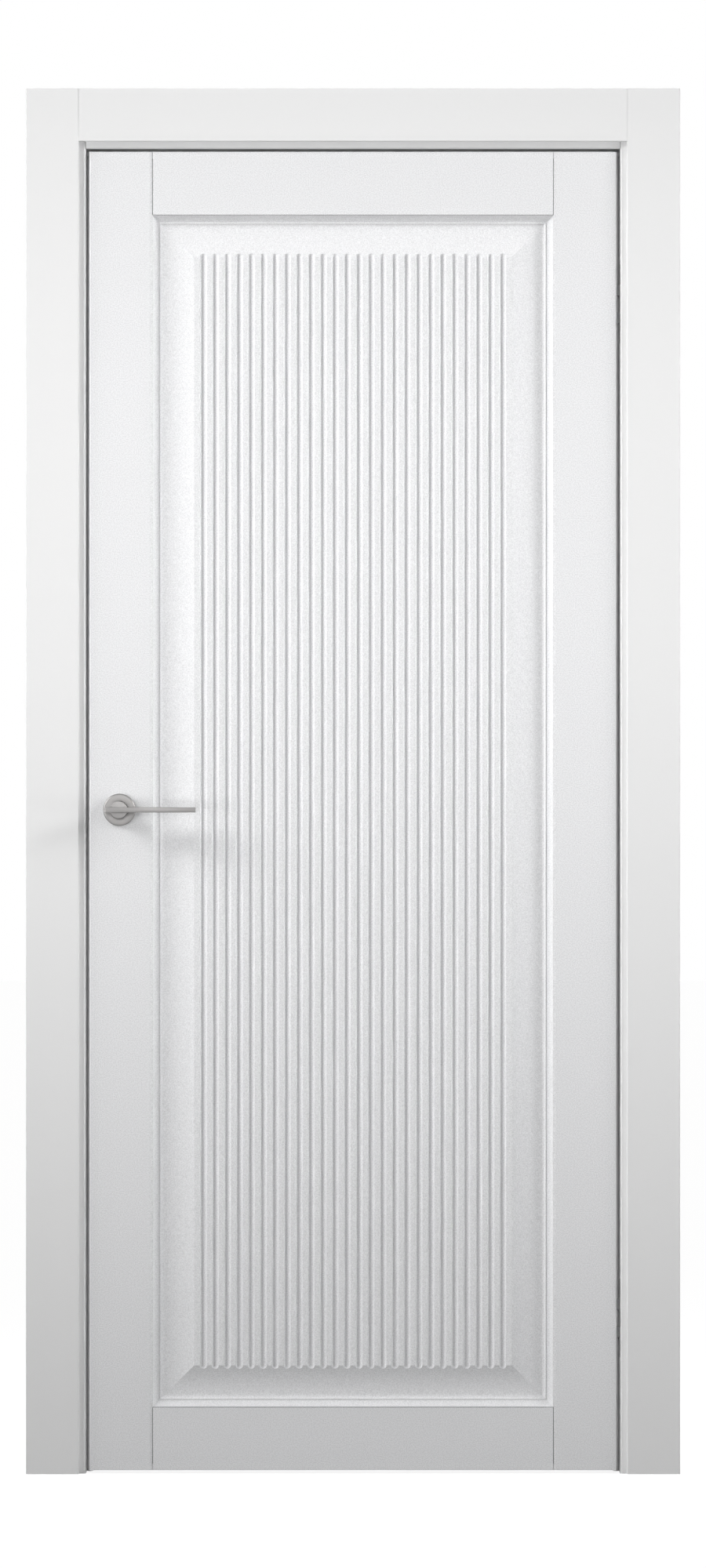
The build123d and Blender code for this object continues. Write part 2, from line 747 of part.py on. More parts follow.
front_casings = {
    "right": casing_upright(casing_inner_hinge, casing_inner_hinge + CASING_WIDTH),
    "left": casing_upright(casing_inner_strike, casing_inner_strike - CASING_WIDTH),
    "head": casing_head(),
}
for place, casing in front_casings.items():
    write(casing, f"casing_front_{place}")
    write(mirrored(casing, MIRROR_WALL), f"casing_back_{place}")

# Hinges
for place, height in zip(("lower", "upper"), HINGE_HEIGHTS):
    frame_housing = hinge_housing(height)
    write(frame_housing, f"hinge_cup_frame_{place}")
    write(mirrored(frame_housing, Plane.YZ.offset(pivot_x)), f"hinge_cup_leaf_{place}")
    write(hinge_arm(height), f"hinge_arm_{place}")

# Leaf
write(stile_lock(), "stile_lock")
write(stile_hinge(), "stile_hinge")
write(edge_band_lock(), "edge_band_lock")
write(edge_band_hinge(), "edge_band_hinge")
lower_rail = rail_bottom()
write(lower_rail, "rail_bottom")
write(mirrored(lower_rail, MIRROR_HEIGHT), "rail_top")
write(panel(), "panel")

left_bead = bead_upright()
lower_bead = bead_level()
front_beads = {
    "left": left_bead,
    "right": mirrored(left_bead, MIRROR_SIDES),
    "bottom": lower_bead,
    "top": mirrored(lower_bead, MIRROR_HEIGHT),
}
for place, bead in front_beads.items():
    write(bead, f"bead_front_{place}")
    write(mirrored(bead, MIRROR_FACES), f"bead_back_{place}")

write(latch(), "latch")
write(latch_bolt(), "latch_bolt")
near_rose = rose_front()
write(near_rose, "rose_front")
write(mirrored(near_rose, MIRROR_FACES), "rose_back")

# Handle
near_lever = lever_front()
write(near_lever, "lever_front")
write(mirrored(near_lever, MIRROR_FACES), "lever_back")
write(spindle(), "spindle")
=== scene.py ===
import logging
import math
from dataclasses import dataclass, field, fields, replace
from enum import Enum
from typing import ClassVar

import bmesh
import bpy
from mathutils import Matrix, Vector


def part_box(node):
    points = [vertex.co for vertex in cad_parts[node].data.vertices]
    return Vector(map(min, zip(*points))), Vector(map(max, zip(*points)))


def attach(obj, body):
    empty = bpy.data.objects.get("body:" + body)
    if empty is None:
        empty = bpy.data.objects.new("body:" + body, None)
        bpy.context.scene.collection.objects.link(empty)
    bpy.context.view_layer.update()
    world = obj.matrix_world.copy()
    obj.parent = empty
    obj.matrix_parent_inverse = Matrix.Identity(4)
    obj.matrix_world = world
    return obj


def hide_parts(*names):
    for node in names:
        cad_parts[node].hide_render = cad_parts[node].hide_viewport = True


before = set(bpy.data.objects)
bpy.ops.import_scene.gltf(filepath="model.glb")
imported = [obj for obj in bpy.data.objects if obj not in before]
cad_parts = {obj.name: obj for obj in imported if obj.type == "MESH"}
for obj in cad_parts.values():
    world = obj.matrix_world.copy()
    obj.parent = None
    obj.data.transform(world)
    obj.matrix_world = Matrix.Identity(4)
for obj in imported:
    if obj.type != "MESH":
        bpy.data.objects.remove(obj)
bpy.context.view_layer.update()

SEED = 7

FLOAT = "NodeSocketFloat"
WHOLE = "NodeSocketInt"
VECTOR = "NodeSocketVector"
COLOUR = "NodeSocketColor"
MATERIAL = "NodeSocketMaterial"
OBJECT = "NodeSocketObject"
GEOMETRY = "NodeSocketGeometry"

Colour = tuple[float, float, float]
Point = tuple[float, float]
Places = list[tuple[Vector, Vector]]
Socket = bpy.types.NodeSocket
log = logging.getLogger("interior_door")


class Body(Enum):
    """The bodies that pieces ride on."""

    FRAME = "frame"
    LEAF = "leaf"
    HANDLE = "handle"
    ARMS = "hinge_arms"


class Side(Enum):
    """The two faces of the leaf, with the way each one looks along Y."""

    FRONT = -1
    BACK = 1

    @property
    def word(self) -> str:
        """The side's name as the nodes spell it."""
        return self.name.lower()


class Graph:
    """A node tree being built, with short ways to add nodes and join them."""

    def __init__(self, tree: bpy.types.NodeTree) -> None:
        """Keep the tree that the nodes go into."""
        self.tree = tree

    def node(
        self, kind: str, feeds: dict[str | int, object] | None = None, **settings: object
    ) -> bpy.types.Node:
        """Add one node.

        Args:
            kind: Blender's name for the node type.
            feeds: inputs by name or place, and the socket or plain value that feeds each.
            settings: properties of the node and their values.

        Returns:
            The new node.
        """
        made = self.tree.nodes.new(kind)
        for name, value in settings.items():
            setattr(made, name, value)
        for label, value in (feeds or {}).items():
            self.feed(made.inputs[label], value)
        return made

    def feed(self, socket: Socket, value: object) -> None:
        """Link a socket to another, or set its plain value.

        Args:
            socket: the input that is fed.
            value: an output socket or a plain value.
        """
        if isinstance(value, Socket):
            self.tree.links.new(value, socket)
        else:
            socket.default_value = value

    def math(self, operation: str, *values: object) -> Socket:
        """The result of a Math node on sockets or numbers."""
        return self.node("ShaderNodeMath", dict(enumerate(values)), operation=operation).outputs[0]

    def vector(self, operation: str, feeds: dict[str | int, object]) -> Socket:
        """The result of a Vector Math node."""
        return self.node("ShaderNodeVectorMath", feeds, operation=operation).outputs[0]

    def clamped(self, value: object) -> Socket:
        """A value limited to the range from 0 to 1."""
        return self.node("ShaderNodeClamp", {"Value": value}).outputs[0]

    def ranged(self, mask: object, low: float, high: float) -> Socket:
        """A mask carried from the range 0 to 1 into another."""
        return self.node("ShaderNodeMapRange", {"Value": mask, "To Min": low, "To Max": high}).outputs[0]

    def mixed(self, factor: object, first: object, second: object) -> Socket:
        """Mix two colours.

        Args:
            factor: the share of the second colour.
            first: the first colour.
            second: the second colour.

        Returns:
            The mixed colour's socket.
        """
        made = self.node("ShaderNodeMix", {"Factor": factor}, data_type="RGBA")
        for socket, value in zip([s for s in made.inputs if s.type == "RGBA"], (first, second)):
            self.feed(socket, (*value, 1) if isinstance(value, tuple) else value)
        return next(s for s in made.outputs if s.type == "RGBA")

    def noise(self, place: Socket, size: Socket, detail: float, roughness: float = 0.5) -> Socket:
        """Add a Noise Texture whose features have a real size.

        Args:
            place: the position.
            size: the features' size in metres.
            detail: how many finer layers it has.
            roughness: how strong the finer layers are.

        Returns:
            The noise's value.
        """
        feeds = {
            "Vector": place,
            "Scale": self.math("DIVIDE", 1.0, size),
            "Detail": detail,
            "Roughness": roughness,
        }
        return self.node("ShaderNodeTexNoise", feeds, noise_dimensions="3D").outputs[0]


def group_tree(
    name: str, kind: str, inputs: dict[str, tuple[str, object]], outputs: dict[str, str]
) -> tuple[Graph, bpy.types.Node, bpy.types.Node]:
    """Start a node group with named sockets.

    Args:
        name: the group's name.
        kind: the tree type, for shaders or geometry.
        inputs: socket names with their types and defaults, None for no default.
        outputs: socket names with their types.

    Returns:
        The graph, its input node and its output node.
    """
    tree = bpy.data.node_groups.new(name, kind)
    for label, (socket_type, default) in inputs.items():
        socket = tree.interface.new_socket(label, in_out="INPUT", socket_type=socket_type)
        if default is not None:
            socket.default_value = default
    for label, socket_type in outputs.items():
        tree.interface.new_socket(label, in_out="OUTPUT", socket_type=socket_type)
    graph = Graph(tree)
    return graph, graph.node("NodeGroupInput"), graph.node("NodeGroupOutput")


class ShaderGroups:
    """The effects that more than one finish uses, each a group built once."""

    def __init__(self) -> None:
        """Build every group."""
        self.grain = self._spray_grain()
        self.drift = self._tone_drift()
        self.brushing = self._brushing()

    @staticmethod
    def _spray_grain() -> bpy.types.NodeTree:
        """Build the fine stipple that a sprayed coat dries with.

        Returns:
            A group from a position and a grain size to a mask and a height.
        """
        inputs = {"Vector": (VECTOR, None), "Grain Size": (FLOAT, 0.002), "Contrast": (FLOAT, 2.0)}
        outputs = {"Mask": FLOAT, "Height": FLOAT}
        graph, given, out = group_tree("Spray Grain", "ShaderNodeTree", inputs, outputs)
        stipple = graph.noise(given.outputs["Vector"], given.outputs["Grain Size"], 2.0, 0.6)
        centred = graph.math("SUBTRACT", stipple, 0.5)
        spread = graph.math("MULTIPLY", centred, given.outputs["Contrast"])
        graph.feed(out.inputs["Mask"], graph.clamped(graph.math("ADD", spread, 0.5)))
        graph.feed(out.inputs["Height"], stipple)
        return graph.tree

    @staticmethod
    def _tone_drift() -> bpy.types.NodeTree:
        """Build the slow change of tone over a large surface.

        Returns:
            A group from a colour to a colour that wanders a little darker.
        """
        inputs = {
            "Vector": (VECTOR, None),
            "Colour": (COLOUR, (0.8, 0.8, 0.8, 1.0)),
            "Patch Size": (FLOAT, 0.3),
            "Amount": (FLOAT, 0.02),
        }
        graph, given, out = group_tree("Tone Drift", "ShaderNodeTree", inputs, {"Colour": COLOUR})
        cloud = graph.noise(given.outputs["Vector"], given.outputs["Patch Size"], 3.0)
        kept = graph.math("SUBTRACT", 1.0, graph.math("MULTIPLY", cloud, given.outputs["Amount"]))
        scaled = graph.vector("SCALE", {0: given.outputs["Colour"], "Scale": kept})
        graph.feed(out.inputs["Colour"], scaled)
        return graph.tree

    @staticmethod
    def _brushing() -> bpy.types.NodeTree:
        """Build the long fine lines that a belt leaves on metal.

        Returns:
            A group from a position and the lines' stretch to a mask and a height.
        """
        inputs = {
            "Vector": (VECTOR, None),
            "Line Width": (FLOAT, 0.0004),
            "Stretch": (VECTOR, (0.02, 1.0, 1.0)),
        }
        outputs = {"Mask": FLOAT, "Height": FLOAT}
        graph, given, out = group_tree("Brushing", "ShaderNodeTree", inputs, outputs)
        drawn = graph.vector("MULTIPLY", {0: given.outputs["Vector"], 1: given.outputs["Stretch"]})
        lines = graph.noise(drawn, given.outputs["Line Width"], 4.0, 0.7)
        graph.feed(out.inputs["Mask"], graph.clamped(lines))
        graph.feed(out.inputs["Height"], lines)
        return graph.tree


@dataclass(frozen=True)
class Surface:
    """What every finish has. Sizes in metres; drift is the share of the colour that wanders."""

    name: str
    slot: str
    colour: Colour
    roughness: tuple[float, float]
    grain_size: float
    grain_depth: float
    drift: float
    metallic: ClassVar[float] = 0.0
    patch_size: ClassVar[float] = 0.3

    def pattern(self, graph: Graph, groups: ShaderGroups, place: Socket) -> bpy.types.Node:
        """The group whose mask and height give the surface its texture."""
        raise NotImplementedError

    def tinted(self, graph: Graph, tone: Socket, mask: Socket, place: Socket) -> Socket:
        """The surface's colour, worked out from its drifting tone."""
        return tone

    def material(self, groups: ShaderGroups) -> bpy.types.Material:
        """Build the finish's material.

        Args:
            groups: the shared shader groups.

        Returns:
            The node material.
        """
        made = bpy.data.materials.new(self.name)
        made.use_nodes = True
        graph = Graph(made.node_tree)
        place = graph.node("ShaderNodeTexCoord").outputs["Object"]
        pattern = self.pattern(graph, groups, place)
        mask = pattern.outputs["Mask"]
        wander = {
            "Vector": place,
            "Colour": (*self.colour, 1),
            "Patch Size": self.patch_size,
            "Amount": self.drift,
        }
        tone = graph.node("ShaderNodeGroup", wander, node_tree=groups.drift).outputs[0]
        relief = {"Strength": 1.0, "Distance": self.grain_depth, "Height": pattern.outputs["Height"]}
        looks = {
            "Metallic": self.metallic,
            "Base Color": self.tinted(graph, tone, mask, place),
            "Roughness": graph.ranged(mask, *self.roughness),
            "Normal": graph.node("ShaderNodeBump", relief).outputs[0],
        }
        for label, value in looks.items():
            graph.feed(made.node_tree.nodes["Principled BSDF"].inputs[label], value)
        return made


@dataclass(frozen=True)
class Coat(Surface):
    """A sprayed or moulded coat. Fleck is a share of the colour that is lost; joint shade is the share of
    the colour darkened inside the joints as painted shade.
    """

    fleck: float = 0.0
    joint_loss: float = 0.0
    contrast: ClassVar[float] = 3.0
    fleck_cover: ClassVar[float] = 0.5
    joint_skin: ClassVar[float] = 0.00025
    joint_end: ClassVar[float] = 0.01

    def pattern(self, graph: Graph, groups: ShaderGroups, place: Socket) -> bpy.types.Node:
        """The coat's stipple."""
        feeds = {"Vector": place, "Grain Size": self.grain_size, "Contrast": self.contrast}
        return graph.node("ShaderNodeGroup", feeds, node_tree=groups.grain)

    def tinted(self, graph: Graph, tone: Socket, mask: Socket, place: Socket) -> Socket:
        """Fleck the tone, and paint shade inside the joints where the coat has a joint shade share.

        Args:
            graph: the material's tree.
            tone: the drifting tone.
            mask: the stipple's mask.
            place: the position.

        Returns:
            The colour.
        """
        deep = tuple(channel * (1 - self.fleck) for channel in self.colour)
        coat = graph.mixed(graph.math("MULTIPLY", mask, self.fleck_cover), tone, deep)
        if not self.joint_loss:
            return coat
        # Painted shade: the joints' hidden surfaces are darkened almost to black to stand in for the shade
        # in the rails' shadow gaps.
        joint_shaded = tuple(channel * (1 - self.joint_loss) for channel in self.colour)
        return graph.mixed(self._in_joint(graph, place), coat, joint_shaded)

    def _in_joint(self, graph: Graph, place: Socket) -> Socket:
        """Find what lies below the leaf's two faces, inside the joints, where shade is painted.

        Args:
            graph: the material's tree.
            place: the position.

        Returns:
            A mask that is 1 inside the joints and 0 on the faces and near the leaf's two ends.
        """
        parts = graph.node("ShaderNodeSeparateXYZ", {0: place}).outputs
        low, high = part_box("rail_bottom")
        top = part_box("rail_top")[1].z
        depth = graph.math("ABSOLUTE", graph.math("SUBTRACT", parts[1], (low.y + high.y) / 2))
        below = graph.math("LESS_THAN", depth, (high.y - low.y) / 2 - self.joint_skin)
        height = graph.math("ABSOLUTE", graph.math("SUBTRACT", parts[2], (low.z + top) / 2))
        inside = graph.math("LESS_THAN", height, (top - low.z) / 2 - self.joint_end)
        return graph.math("MULTIPLY", below, inside)


@dataclass(frozen=True)
class Metal(Surface):
    """A bare or plated metal, with lines drawn out where the stretch isn't even."""

    stretch: tuple[float, float, float] = (1.0, 1.0, 1.0)
    metallic: ClassVar[float] = 1.0
    patch_size: ClassVar[float] = 0.03

    def pattern(self, graph: Graph, groups: ShaderGroups, place: Socket) -> bpy.types.Node:
        """The metal's lines or cast texture."""
        feeds = {"Vector": place, "Line Width": self.grain_size, "Stretch": self.stretch}
        return graph.node("ShaderNodeGroup", feeds, node_tree=groups.brushing)


class Finish(Enum):
    """Every finish: name, slot, colour, roughness, grain size and depth, drift, then its own."""

    LEAF_ENAMEL = Coat(
        "leaf_enamel", "leaf_enamel", (0.95, 0.952, 0.964), (0.5, 0.62), 0.0016, 0.00016, 0.02, fleck=0.4
    )
    # The rails' enamel, with painted shade inside the shadow gaps at their joints.
    RAIL_ENAMEL = replace(LEAF_ENAMEL, name="rail_enamel", joint_loss=0.93)
    TRIM_ENAMEL = Coat(
        "trim_enamel", "trim_enamel", (0.87, 0.87, 0.87), (0.42, 0.5), 0.004, 0.00003, 0.015, fleck=0.01
    )
    EDGE_BAND = Coat(
        "edge_band", "edge_band", (0.92, 0.922, 0.93), (0.5, 0.6), 0.003, 0.00004, 0.02, fleck=0.03
    )
    SEAL_RUBBER = Coat(
        "seal_rubber", "seal_rubber", (0.92, 0.922, 0.928), (0.6, 0.75), 0.0012, 0.00006, 0.03, fleck=0.04
    )
    SATIN_NICKEL = Metal(
        "satin_nickel",
        "satin_nickel",
        (0.282, 0.275, 0.2715),
        (0.3, 0.44),
        0.0005,
        0.00001,
        0.08,
        stretch=(0.04, 1.0, 1.0),
    )
    HINGE_ZAMAK = Metal(
        "hinge_zamak", "hinge_zamak", (0.3, 0.303, 0.306), (0.5, 0.66), 0.0016, 0.00003, 0.1
    )
    SCREW_STEEL = Metal(
        "screw_steel", "satin_nickel", (0.56, 0.56, 0.555), (0.25, 0.36), 0.0008, 0.00001, 0.05
    )


class Palette:
    """The finishes' materials, each built once."""

    def __init__(self) -> None:
        """Build the shared groups and every material."""
        groups = ShaderGroups()
        self._made = {finish: finish.value.material(groups) for finish in Finish}

    def material(self, finish: Finish) -> bpy.types.Material:
        """The material of a finish."""
        return self._made[finish]

    def dress_node(self, node: str, finish: Finish) -> None:
        """Put a finish on a CAD node.

        Args:
            node: the node's name.
            finish: what it is finished with.
        """
        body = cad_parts[node]
        if not body.material_slots:
            body.data.materials.append(self.material(finish))
        for slot in body.material_slots:
            slot.material = self.material(finish)


def settle(
    piece: bpy.types.Object, body: Body, finish: Finish, palette: Palette, *nodes: str
) -> None:
    """Hand a finished piece to its body.

    Args:
        piece: the object, at the origin.
        body: the body that it rides on.
        finish: its finish.
        palette: the built materials.
        nodes: the CAD nodes that it stands for.
    """
    if not piece.data.materials:
        piece.data.materials.append(palette.material(finish))
    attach(piece, body.value)
    if nodes:
        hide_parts(*nodes)
    piece.data.calc_loop_triangles()
    log.info("%s: %d triangles on %s", piece.name, len(piece.data.loop_triangles), body.value)


def new_object(name: str, mesh: bpy.types.Mesh) -> bpy.types.Object:
    """Put a mesh in the scene at the origin.

    Args:
        name: the object's name.
        mesh: its mesh.

    Returns:
        The new object.
    """
    made = bpy.data.objects.new(name, mesh)
    bpy.context.scene.collection.objects.link(made)
    return made


def baked(source: bpy.types.Object, name: str) -> bpy.types.Object:
    """Turn an object and its modifiers into a plain mesh object.

    Args:
        source: the object, which is removed.
        name: the new object's name.

    Returns:
        The plain object.
    """
    bpy.context.view_layer.update()
    graph = bpy.context.evaluated_depsgraph_get()
    mesh = bpy.data.meshes.new_from_object(source.evaluated_get(graph))
    source.modifiers.clear()
    bpy.data.objects.remove(source)
    mesh.name = name
    return new_object(name, mesh)


def coated(graph: Graph, shape: Socket, material: Socket) -> Socket:
    """Make every instance real and give the whole its material.

    Args:
        graph: the Geometry Nodes tree.
        shape: the geometry.
        material: the material's socket.

    Returns:
        The finished geometry.
    """
    real = graph.node("GeometryNodeRealizeInstances", {0: shape}).outputs[0]
    return graph.node("GeometryNodeSetMaterial", {"Geometry": real, "Material": material}).outputs[0]


def with_nodes(
    source: bpy.types.Object, tree: bpy.types.NodeTree, values: dict[str, object], name: str
) -> bpy.types.Object:
    """Run a Geometry Nodes tree on an object and keep the result as a plain mesh.

    Args:
        source: the object that the tree starts from, which is removed.
        tree: the tree.
        values: the tree's inputs by name.
        name: the new object's name.

    Returns:
        The plain object.
    """
    modifier = source.modifiers.new(tree.name, "NODES")
    modifier.node_group = tree
    given = [item for item in tree.interface.items_tree if item.in_out == "INPUT"]
    sockets = {item.name: item.identifier for item in given}
    for label, value in values.items():
        modifier[sockets[label]] = value
    return baked(source, name)


def arc(middle: Point, radius: float, start: float, end: float, steps: int) -> list[Point]:
    """Draw part of a circle.

    Args:
        middle: the circle's centre.
        radius: its radius.
        start: the first angle in radians.
        end: the last angle in radians.
        steps: how many steps the arc has.

    Returns:
        Points along the arc, with both its ends.
    """
    angles = [start + (end - start) * step / steps for step in range(steps + 1)]
    return [(middle[0] + radius * math.cos(a), middle[1] + radius * math.sin(a)) for a in angles]


def lathe(
    profile: list[Point], centre: Vector, segments: int
) -> bmesh.types.BMesh:
    """Turn a profile about the handle's axis.

    Args:
        profile: radius and Y, from one end of the profile to the other. Radius 0 is a pole.
        centre: the axis's place; its Y isn't used.
        segments: how many steps the turn has.

    Returns:
        The closed shape.
    """
    shape = bmesh.new()
    rings = []
    for radius, depth in profile:
        count = 1 if radius == 0 else segments
        ring = []
        for step in range(count):
            angle = 2 * math.pi * step / segments
            ring.append(
                shape.verts.new(
                    (centre.x + radius * math.cos(angle), depth, centre.z + radius * math.sin(angle))
                )
            )
        rings.append(ring)
    closed = profile[0][0] != 0
    pairs = list(zip(rings, rings[1:])) + ([(rings[-1], rings[0])] if closed else [])
    for inner, outer in pairs:
        for step in range(segments):
            after = (step + 1) % segments
            corners = [
                inner[step % len(inner)],
                inner[after % len(inner)],
                outer[after % len(outer)],
                outer[step % len(outer)],
            ]
            shape.faces.new(list(dict.fromkeys(corners)))
    bmesh.ops.remove_doubles(shape, verts=shape.verts, dist=1e-7)
    bmesh.ops.recalc_face_normals(shape, faces=shape.faces)
    return shape


def to_object(shape: bmesh.types.BMesh, name: str, crease: float) -> bpy.types.Object:
    """Write a bmesh to an object, smooth but for its sharp edges.

    Args:
        shape: the shape, which is freed.
        name: the object's name.
        crease: the angle in degrees past which an edge stays sharp.

    Returns:
        The new object.
    """
    for face in shape.faces:
        face.smooth = True
    for edge in shape.edges:
        if len(edge.link_faces) == 2 and edge.calc_face_angle(0) > math.radians(crease):
            edge.smooth = False
    mesh = bpy.data.meshes.new(name)
    shape.to_mesh(mesh)
    shape.free()
    return new_object(name, mesh)


@dataclass
class FlutedPanel:
    """The raised panel: a fluted field on a cove, the same on both faces. Sizes in metres."""

    width: float = 0.628
    height: float = 1.828
    edge_thickness: float = 0.012
    field_thickness: float = 0.036
    field_width: float = 0.482
    field_height: float = 1.682
    cove_width: float = 0.0505
    flute_count: int = 26
    flute_pitch: float = 0.01815
    flute_radius: float = 0.005
    flute_depth: float = 0.0045
    flute_overrun: float = 0.0055
    arris: float = 0.0014
    toe_width: float = 0.006
    toe_rise: float = 0.002
    steps_per_flute: int = 16
    cove_steps: int = 36

    def build(self, palette: Palette) -> None:
        """Build the panel and set it in the leaf.

        Args:
            palette: the built materials.
        """
        low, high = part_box("panel")
        seed = new_object("panel_seed", bpy.data.meshes.new("panel_seed"))
        sizes = {item.name.replace("_", " ").title(): getattr(self, item.name) for item in fields(self)}
        enamel = palette.material(Finish.LEAF_ENAMEL)
        values = {**sizes, "Centre": (low + high) / 2, "Material": enamel}
        piece = with_nodes(seed, PanelTree(sizes).graph.tree, values, "fluted_panel")
        settle(piece, Body.LEAF, Finish.LEAF_ENAMEL, palette, "panel")


class PanelTree:
    """The Geometry Nodes tree of the panel.

    A grid of steps is closed into a block. Each of its points is then carried to its real place:
    across and up by the panel's lines, and outward by the cove and the flutes.
    """

    edge_steps: ClassVar[int] = 2
    field_rows: ClassVar[int] = 3
    crowding: ClassVar[float] = 0.06
    sharp_edge: ClassVar[float] = math.radians(24)
    whisker: ClassVar[float] = 1e-5

    def __init__(self, sizes: dict[str, float]) -> None:
        """Build the tree, with an input for every size.

        Args:
            sizes: the panel's sizes by the names of the inputs.
        """
        inputs = {label: (WHOLE if isinstance(size, int) else FLOAT, size) for label, size in sizes.items()}
        inputs |= {"Centre": (VECTOR, None), "Material": (MATERIAL, None)}
        graph, given, out = group_tree("Fluted Panel", "GeometryNodeTree", inputs, {"Geometry": GEOMETRY})
        self.graph, self.size = graph, given.outputs
        m, size = graph.math, self.size
        side_flutes = m("MULTIPLY", size["Flute Count"], 0.5)
        self.flute_steps = m("MULTIPLY", side_flutes, size["Steps Per Flute"])
        self.fluted_half = m("MULTIPLY", side_flutes, size["Flute Pitch"])
        self.cove_x = m("ADD", self._half("Field Width"), size["Cove Width"])
        self.cove_z = m("ADD", self._half("Field Height"), size["Cove Width"])
        place = graph.node("GeometryNodeInputPosition").outputs[0]
        column, row, level = graph.node("ShaderNodeSeparateXYZ", {0: place}).outputs
        x, z = self._across(m("ABSOLUTE", column)), self._up(m("ABSOLUTE", row))
        surface = m("SMOOTH_MIN", self._plain(x, z), self._flute(x, z), size["Arris"])
        outward = m("SUBTRACT", 1.0, m("MULTIPLY", level, 2.0))
        offsets = {
            0: m("MULTIPLY", x, m("SIGN", column)),
            1: m("MULTIPLY", surface, outward),
            2: m("MULTIPLY", z, m("SIGN", row)),
        }
        offset = graph.node("ShaderNodeCombineXYZ", offsets).outputs[0]
        carried = {
            "Geometry": self._block(),
            "Position": graph.vector("ADD", {0: offset, 1: size["Centre"]}),
        }
        moved = graph.node("GeometryNodeSetPosition", carried).outputs[0]
        graph.feed(out.inputs["Geometry"], self._finished(moved))

    def _half(self, label: str) -> Socket:
        """Half of a named size."""
        return self.graph.math("MULTIPLY", self.size[label], 0.5)

    def _share(self, distance: object, start: object, count: object) -> Socket:
        """How far a step lies through a stretch of steps, from 0 to 1."""
        m = self.graph.math
        return self.graph.clamped(m("DIVIDE", m("SUBTRACT", distance, start), count))

    def _cove_way(self, distance: object, start: object) -> Socket:
        """Carry a step out along the cove, with the steps crowded at both ends.

        Args:
            distance: the step, counted from the middle.
            start: the step at which the cove starts.

        Returns:
            The real distance along the cove.
        """
        m = self.graph.math
        through = self._share(distance, start, self.size["Cove Steps"])
        eased = m("SUBTRACT", 3.0, m("MULTIPLY", through, 2.0))
        return m("MULTIPLY", m("MULTIPLY", m("POWER", through, 2.0), eased), self.size["Cove Width"])

    def _block(self) -> Socket:
        """Close a grid, with a unit for each step, into a block one unit thick.

        Returns:
            The block.
        """
        graph, m = self.graph, self.graph.math
        cove_steps = self.size["Cove Steps"]
        across = m("ADD", m("ADD", self.flute_steps, cove_steps), 2 * self.edge_steps)
        up = m("ADD", cove_steps, self.field_rows + self.edge_steps)
        feeds = {}
        for axis, count in (("X", across), ("Y", up)):
            feeds[f"Size {axis}"] = m("MULTIPLY", count, 2.0)
            feeds[f"Vertices {axis}"] = m("ADD", m("MULTIPLY", count, 2.0), 1.0)
        grid = graph.node("GeometryNodeMeshGrid", feeds).outputs["Mesh"]
        lift = {"Mesh": grid, "Offset": (0, 0, 1), "Offset Scale": 1.0, "Individual": False}
        lifted = graph.node("GeometryNodeExtrudeMesh", lift, mode="FACES").outputs["Mesh"]
        turned = graph.node("GeometryNodeFlipFaces", {"Mesh": grid}).outputs["Mesh"]
        both = graph.node("GeometryNodeJoinGeometry")
        for part in (lifted, turned):
            graph.feed(both.inputs[0], part)
        seam = {"Geometry": both.outputs[0], "Distance": 0.01}
        return graph.node("GeometryNodeMergeByDistance", seam).outputs[0]

    def _across(self, step: Socket) -> Socket:
        """Carry a step across: flutes crowded at their arrises, then margin, cove and tongue.

        Args:
            step: the step, counted from the middle.

        Returns:
            The real distance from the middle.
        """
        m, size = self.graph.math, self.size
        edge_steps = float(self.edge_steps)
        turns = m("DIVIDE", m("MINIMUM", step, self.flute_steps), size["Steps Per Flute"])
        shift = m("MULTIPLY", m("SINE", m("MULTIPLY", turns, 4 * math.pi)), self.crowding)
        fluted = m("MULTIPLY", m("ADD", turns, shift), size["Flute Pitch"])
        margin = m("SUBTRACT", self._half("Field Width"), self.fluted_half)
        margin_end = m("ADD", self.flute_steps, edge_steps)
        x = m("ADD", fluted, m("MULTIPLY", margin, self._share(step, self.flute_steps, edge_steps)))
        x = m("ADD", x, self._cove_way(step, margin_end))
        tongue = self._share(step, m("ADD", margin_end, size["Cove Steps"]), edge_steps)
        return m("ADD", x, m("MULTIPLY", m("SUBTRACT", self._half("Width"), self.cove_x), tongue))

    def _up(self, step: Socket) -> Socket:
        """Carry a step up: a few long steps over the field, then cove and tongue.

        Args:
            step: the step, counted from the middle.

        Returns:
            The real distance from the middle.
        """
        m, rows = self.graph.math, float(self.field_rows)
        z = m("MULTIPLY", self._half("Field Height"), self._share(step, 0.0, rows))
        z = m("ADD", z, self._cove_way(step, rows))
        tongue = self._share(step, m("ADD", self.size["Cove Steps"], rows), float(self.edge_steps))
        return m("ADD", z, m("MULTIPLY", m("SUBTRACT", self._half("Height"), self.cove_z), tongue))

    def _arc_rise(self, inward: Socket, reach: Socket, rise: Socket) -> Socket:
        """Rise along an arc that leaves its foot flat.

        Args:
            inward: the distance from the foot.
            reach: how far the arc runs.
            rise: how far it has risen there.

        Returns:
            The rise at that distance.
        """
        m = self.graph.math
        squares = m("ADD", m("POWER", reach, 2.0), m("POWER", rise, 2.0))
        radius = m("DIVIDE", squares, m("MULTIPLY", rise, 2.0))
        chord = m("SQRT", m("SUBTRACT", m("POWER", radius, 2.0), m("POWER", inward, 2.0)))
        return m("SUBTRACT", radius, chord)

    def _plain(self, x: Socket, z: Socket) -> Socket:
        """The panel's surface without flutes: tongue, toe, cove and field.

        Args:
            x: the distance across from the middle.
            z: the distance up from the middle.

        Returns:
            The surface's distance from the middle plane.
        """
        m, size = self.graph.math, self.size
        rise = m("SUBTRACT", self._half("Field Thickness"), self._half("Edge Thickness"))
        rises = []
        for edge, distance in ((self.cove_x, x), (self.cove_z, z)):
            inward = m("MINIMUM", m("MAXIMUM", m("SUBTRACT", edge, distance), 0.0), size["Cove Width"])
            rises.append(self._arc_rise(inward, size["Cove Width"], rise))
        plain = m("ADD", self._half("Edge Thickness"), m("MINIMUM", *rises))
